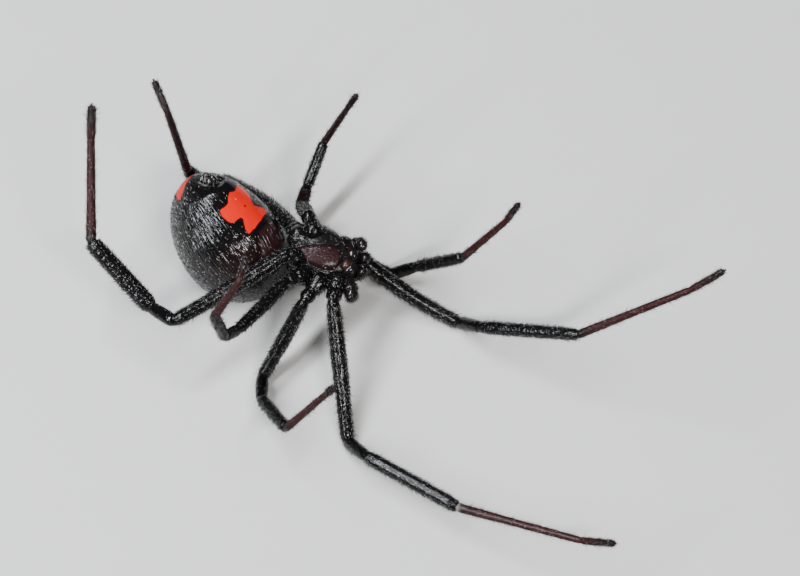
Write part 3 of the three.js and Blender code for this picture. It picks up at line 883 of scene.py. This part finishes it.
# %% Palps
PALPS = {
    "L": [
        (1.2, -0.85, 0.3), (1.48, -1.15, 0.6), (1.66, -1.45, 0.8), (1.76, -1.75, 0.92),
        (1.8, -2.06, 1.0),
    ],
    "R": [
        (1.2, 0.85, 0.25), (1.5, 1.02, 0.5), (1.68, 1.04, 0.75), (1.78, 0.92, 0.95),
        (1.86, 0.66, 1.15),
    ],
}
PALP_RADII = [
    (0, 0.3), (0.2, 0.32), (0.3, 0.23), (0.36, 0.29), (0.5, 0.28), (0.56, 0.21), (0.62, 0.26),
    (0.78, 0.25), (0.82, 0.19), (0.88, 0.22), (1, 0.14),
]
PALP_BULK = {"L": 1.35, "R": 1.0}
palps = []
for label, path in PALPS.items():
    radii = [(share, radius * PALP_BULK[label]) for share, radius in PALP_RADII]
    palp = finished(f"palp_{label}_skin", tube(on_head(path), radii, 20, rows=48))
    palps.append(placed(palp, dark_look, "black_cuticle", f"palp_{label}"))

# %% [markdown]
# ## Spinnerets
# At the rear end a low ring carries three pairs of short blunt cones that spin the silk. Ring and
# cones are tubes in a frame of their own that looks out of the abdomen's end, so one list of
# distances, angles and radii places them all.

# %% Spinnerets
SPINNERETS = ABDOMEN @ Matrix.Translation((-2.95, 0, 1.3)) @ Matrix.Rotation(math.radians(226), 4, "Y")
# Each pair's distance from the middle, angle round it in degrees and radius at the base.
CONES = [(0.3, 35, 0.22), (0.24, 90, 0.15), (0.3, 145, 0.21)]
CONE_PROFILE = [(0, 1), (0.5, 0.95), (0.6, 0.8), (1, 0.5)]
ring = [SPINNERETS @ Vector((x, 0, 0)) for x in (-0.35, -0.15, 0.06)]
ring_hair = {"hair": lambda along, turn: 1.0 if 0.3 < along < 0.75 else 0.0}
cone_hair = {"hair": lambda along, turn: 0.03}
bm = tube(ring, [(0, 0.72), (0.6, 0.72), (1, 0.64)], 32, marks=ring_hair)
for side in (-1, 1):
    for out, angle, radius in CONES:
        turn = math.radians(angle) * side
        y, z = out * math.sin(turn), out * math.cos(turn)
        cone = [SPINNERETS @ Vector((x, y * (1 - x), z * (1 - x))) for x in (-0.1, 0.12, 0.32)]
        radii = [(share, radius * part) for share, part in CONE_PROFILE]
        tube(cone, radii, 16, into=bm, marks=cone_hair)
spinnerets = placed(finished("spinnerets_skin", bm), spinneret_look, "pale_cuticle", "spinnerets")

# %% [markdown]
# ## Claws
# Each tarsus ends in a pair of curved claws and a third, smaller one between them. They are cones
# bent along a short arc, all in one mesh.

# %% Claws
CLAW_SUNK = 0.1
CLAWS = ((-0.05, 0.12), (0.05, 0.12), (0.0, 0.09))  # each one's spread and reach
CLAW_RADII = [(0, 0.028), (0.5, 0.02), (1, 0.004)]


def claw_path(name, spread, reach):
    """An arc that leaves the tip of a leg and curls to its lower side."""
    joints = leg_joints(name)
    way = (joints[-1] - joints[-2]).normalized()
    side = way.cross(Vector((0, 0, 1))).normalized()
    under = way.cross(side)
    tip = joints[-1] - way * CLAW_SUNK
    return [
        tip + way * (reach * ahead) + side * (spread * ahead) + under * (reach * down)
        for ahead, down in ((0, 0), (0.7, 0.1), (1, 0.5))
    ]


bm = bmesh.new()
for name in LEG_POSES:
    for spread, reach in CLAWS:
        tube(claw_path(name, spread, reach), CLAW_RADII, 8, into=bm, rows=8)
placed(finished("claws", bm), claw_look, "black_cuticle")

# %% [markdown]
# ## Setae
# Short bristles cover the legs, the flanks and the mouthparts. Most are dark and blur the outlines.
# Shorter pale ones are painted glints: their pale colour stands for the bright points where the
# bristles catch the light, and only in the ring round the spinnerets is it partly the hairs' own.
# Particle hair would be quicker to make, but real mesh is what other programs can use: one bent
# three-sided bristle is set on points scattered over each skin and turned to lie along it. Its
# patch in the map OFBake sits at its root's place.

# %% The bristle
BEND = 2.0  # how far the tip leans, in radii
PATCH = 0.003  # a bristle's share of the map's width


def bristle_mesh():
    """One bristle of length 1 and radius 1 that stands on the origin and bends to x."""
    bm = bmesh.new()
    shape = {"cap_ends": True, "segments": 3, "radius1": 1, "radius2": 0.15, "depth": 1}
    bmesh.ops.create_cone(bm, calc_uvs=True, **shape)
    bmesh.ops.translate(bm, verts=bm.verts, vec=(0, 0, 0.5))
    everything = [*bm.verts, *bm.edges, *bm.faces]
    bmesh.ops.bisect_plane(bm, geom=everything, plane_co=(0, 0, 0.5), plane_no=(0, 0, 1))
    for v in bm.verts:
        v.co.x += BEND * v.co.z**2
    patch = bm.loops.layers.uv.new("patch")
    for face in bm.faces:
        for loop in face.loops:
            loop[patch].uv = (0.5 + loop.vert.co.y * 0.4, loop.vert.co.z)
    return finished("bristle", bm)


bristle = bristle_mesh()


# %% The coat's nodes
def coat_nodes(name, skin, look, density, length, radius, lean, seed):
    """Scatters bristles over a skin. density is per square mm, length and radius in mm."""
    tree = bpy.data.node_groups.new(name, "GeometryNodeTree")
    tree.interface.new_socket("Geometry", in_out="INPUT", socket_type="NodeSocketGeometry")
    tree.interface.new_socket("Geometry", in_out="OUTPUT", socket_type="NodeSocketGeometry")
    links = tree.links

    def node(kind, values=None, **settings):
        made = tree.nodes.new(kind)
        for key, value in settings.items():
            setattr(made, key, value)
        for key, value in (values or {}).items():
            if isinstance(value, bpy.types.NodeSocket):
                links.new(value, made.inputs[key])
            else:
                made.inputs[key].default_value = value
        return made

    def vector(operation, *values):
        keyed = dict(enumerate(values))
        if operation == "SCALE":
            keyed = {0: values[0], "Scale": values[1]}
        return node("ShaderNodeVectorMath", keyed, operation=operation).outputs[0]

    def attribute(label, kind):
        made = node("GeometryNodeInputNamedAttribute", {"Name": label}, data_type=kind)
        return made.outputs["Attribute"]

    def random(kind, low, high, seed):
        made = node("FunctionNodeRandomValue", {"Seed": seed}, data_type=kind)
        sockets = [s for s in made.inputs if s.enabled]
        sockets[0].default_value, sockets[1].default_value = low, high
        return [s for s in made.outputs if s.enabled][0]

    source = node("GeometryNodeObjectInfo", {"Object": skin})
    per_metre = {0: attribute("hair", "FLOAT"), 1: density / MM**2}
    thick = node("ShaderNodeMath", per_metre, operation="MULTIPLY")
    scatter = {"Mesh": source.outputs["Geometry"], "Density": thick.outputs[0], "Seed": seed}
    points = node("GeometryNodeDistributePointsOnFaces", scatter)
    root = attribute("OFBake", "FLOAT_VECTOR")
    kept = node(
        "GeometryNodeStoreNamedAttribute",
        {"Geometry": points.outputs["Points"], "Name": "root", "Value": root},
        data_type="FLOAT_VECTOR", domain="POINT",
    )
    bare = node("GeometryNodeRemoveAttribute", {"Geometry": kept.outputs[0], "Name": "OFBake"})
    flow = attribute("flow", "FLOAT_VECTOR")
    jitter = random("FLOAT_VECTOR", (-0.3, -0.3, -0.3), (0.3, 0.3, 0.3), seed + 1)
    lie = vector("ADD", vector("SCALE", flow, lean), jitter)
    stand = vector("NORMALIZE", vector("ADD", points.outputs["Normal"], lie))
    up = node("FunctionNodeAlignRotationToVector", {"Vector": stand}, axis="Z")
    turned = {"Rotation": up.outputs[0], "Vector": flow}
    facing = node("FunctionNodeAlignRotationToVector", turned, axis="X", pivot_axis="Z")
    low, high = length
    thin = (radius * MM, radius * MM, low * MM)
    size = random("FLOAT_VECTOR", thin, (radius * MM, radius * MM, high * MM), seed + 2)
    shape = node("GeometryNodeObjectInfo", {"Object": bristle})
    stood = node("GeometryNodeInstanceOnPoints", {
        "Points": bare.outputs[0], "Instance": shape.outputs["Geometry"],
        "Rotation": facing.outputs[0], "Scale": size,
    })
    real = node("GeometryNodeRealizeInstances", {"Geometry": stood.outputs[0]})
    place = node("GeometryNodeInputPosition").outputs[0]
    above = vector("MAXIMUM", place, (-1.0, -1.0, 0.01 * MM))
    lifted = node("GeometryNodeSetPosition", {"Geometry": real.outputs[0], "Position": above})
    middled = vector("SUBTRACT", attribute("patch", "FLOAT_VECTOR"), (0.5, 0.5, 0.0))
    patch = vector("SCALE", middled, PATCH)
    bake = vector("ADD", attribute("root", "FLOAT_VECTOR"), patch)
    mapped = node(
        "GeometryNodeStoreNamedAttribute",
        {"Geometry": lifted.outputs[0], "Name": "OFBake", "Value": bake},
        data_type="FLOAT2", domain="CORNER",
    )
    coloured = node("GeometryNodeSetMaterial", {"Geometry": mapped.outputs[0], "Material": look})
    output = node("NodeGroupOutput")
    links.new(coloured.outputs[0], output.inputs[0])
    return tree


print("a coat's bristle has", len(bristle.data.polygons), "faces")


# %% Growing a coat
def coat(name, skin, look=seta_look, density=100, length=(0.11, 0.2), radius=0.009, lean=0.9, seed=1):
    """A mesh of bristles on a skin, with nothing left to work out later."""
    working = ("root", "patch", "flow", "UVMap")
    holder = bpy.data.objects.new(f"{name}_grown", bpy.data.meshes.new(f"{name}_grown"))
    bpy.context.scene.collection.objects.link(holder)
    grower = holder.modifiers.new("coat", "NODES")
    grower.node_group = coat_nodes(name, skin, look, density, length, radius, lean, seed)
    grown = holder.evaluated_get(bpy.context.evaluated_depsgraph_get())
    mesh = bpy.data.meshes.new_from_object(grown)
    bpy.data.objects.remove(holder)
    for attribute in [a.name for a in mesh.attributes if a.name in working]:
        mesh.attributes.remove(mesh.attributes[attribute])
    made = bpy.data.objects.new(name, mesh)
    bpy.context.scene.collection.objects.link(made)
    print(name, len(mesh.polygons), "faces", [layer.name for layer in mesh.uv_layers])
    return placed(made, look, "setae")


# %% Coats of the legs
for number, (name, leg) in enumerate(legs.items()):
    coat(f"setae_leg_{name}", leg, density=110, radius=0.01, seed=number)
    # Pale bristles on the legs: painted glints, the bright points of light put in as colour.
    coat(
        f"setae_pale_{name}", leg, pale_and_glint_seta_look,
        density=34, length=(0.05, 0.09), radius=0.008, lean=1.2, seed=10 + number,
    )
    coat(
        f"setae_long_{name}", leg,
        density=4, length=(0.28, 0.4), radius=0.013, lean=0.6, seed=20 + number,
    )

# %% Coats of the body
coat("setae_abdomen", abdomen, density=30, length=(0.09, 0.16), lean=1.6, seed=40)
# Pale bristles on the abdomen: painted glints, bright specks of light put in as colour.
coat(
    "setae_pale_abdomen", abdomen, pale_and_glint_seta_look,
    density=13, length=(0.06, 0.11), radius=0.011, lean=1.6, seed=39,
)
coat("setae_prosoma", prosoma, density=60, length=(0.1, 0.18), seed=41)
# Pale bristles on the prosoma and sternum: painted glints that make light dots.
coat("setae_pale_prosoma", prosoma, pale_and_glint_seta_look, density=14, length=(0.05, 0.09), seed=38)

# %% Coats of the small parts
coat("setae_mouth", mouth, density=160, length=(0.1, 0.2), seed=42)
for number, piece in enumerate((*palps, *jaws)):
    coat(f"setae_head_{number}", piece, density=150, length=(0.1, 0.2), seed=43 + number)
# The pale ring round the spinnerets: partly the hairs' own colour and partly a painted glint.
coat(
    "setae_spinnerets", spinnerets, pale_and_glint_seta_look,
    density=380, length=(0.1, 0.18), radius=0.012, lean=0.2, seed=50,
)
bpy.data.objects.remove(bristle)

# %% [markdown]
# ## Floor
# A plain pale floor, wide enough to fill the frame. It lies a little under the spider's back, so
# that the two never share a face.

# %% Floor
FLOOR_COLOUR = (0.42, 0.413, 0.405, 1)
FLOOR_GAP = 0.02
bpy.ops.mesh.primitive_plane_add(size=1.2)
floor = bpy.context.object
floor.name = "studio_floor"
floor_look = bpy.data.materials.new("studio_floor")
floor_look.use_nodes = True
floor_shader = floor_look.node_tree.nodes["Principled BSDF"]
floor_shader.inputs["Base Color"].default_value = FLOOR_COLOUR
floor_shader.inputs["Roughness"].default_value = 0.9
floor.data.materials.append(floor_look)
floor.location.z = -FLOOR_GAP * MM
print("floor:", [round(side, 2) for side in floor.dimensions], "m")

# %% [markdown]
# ## Light
# A glossy black animal shows what it mirrors. Two soft strips, one on the left and one in front,
# draw a narrow bright band along the legs and the abdomen, and a faint pale sky keeps the shadows
# soft. A large square lamp would turn the black to grey.


# %% Light
def strip_light(name, start, end, width, power, colour):
    """A soft strip that reaches from start to end and shines on the animal."""
    start, end = Vector(start), Vector(end)
    lamp = bpy.data.lights.new(name, "AREA")
    lamp.shape = "RECTANGLE"
    lamp.size, lamp.size_y = (end - start).length, width
    lamp.energy, lamp.color = power, colour
    made = bpy.data.objects.new(name, lamp)
    bpy.context.scene.collection.objects.link(made)
    made.location = (start + end) / 2
    away = made.location.normalized()
    x = (end - start).normalized()
    x = (x - away * x.dot(away)).normalized()
    made.rotation_euler = Matrix((x, away.cross(x), away)).transposed().to_euler()
    return made


STRIP_WIDTH = 0.018
SKY_COLOUR, SKY_STRENGTH = (0.8, 0.84, 0.9, 1), 0.14
strip_light(
    "key_light", (-0.03, 0.1, 0.21), (-0.16, -0.13, 0.11), STRIP_WIDTH,
    power=1.36, colour=(0.92, 0.96, 1.0),
)
strip_light(
    "front_light", (0.03, -0.15, 0.2), (0.11, -0.12, 0.19), STRIP_WIDTH,
    power=0.7, colour=(1.0, 0.98, 0.96),
)
world = bpy.data.worlds.new("studio_world")
world.use_nodes = True
sky = world.node_tree.nodes["Background"]
sky.inputs["Color"].default_value = SKY_COLOUR
sky.inputs["Strength"].default_value = SKY_STRENGTH
bpy.context.scene.world = world
print("lamps:", [lamp.name for lamp in bpy.data.lights])

# %% [markdown]
# ## Camera
# The camera looks down on the belly from in front, 60 degrees above the horizon and 250 mm away,
# which is the direction the animal was seen from. A long lens flattens it as the far view did.

# %% Camera
TARGET = Vector((-0.146, 3.277, 2.598))
EYE_POINT = Vector((-0.146, -121.72, 219.1))
camera_data = bpy.data.cameras.new("camera")
camera_data.lens, camera_data.sensor_width = 225, 36
camera_data.clip_start, camera_data.clip_end = 0.005, 20
camera = bpy.data.objects.new("camera", camera_data)
bpy.context.scene.collection.objects.link(camera)
camera.location = EYE_POINT * MM
camera.rotation_euler = (TARGET - EYE_POINT).to_track_quat("-Z", "Y").to_euler()
bpy.context.scene.camera = camera
print("camera at", [round(c, 4) for c in camera.location])
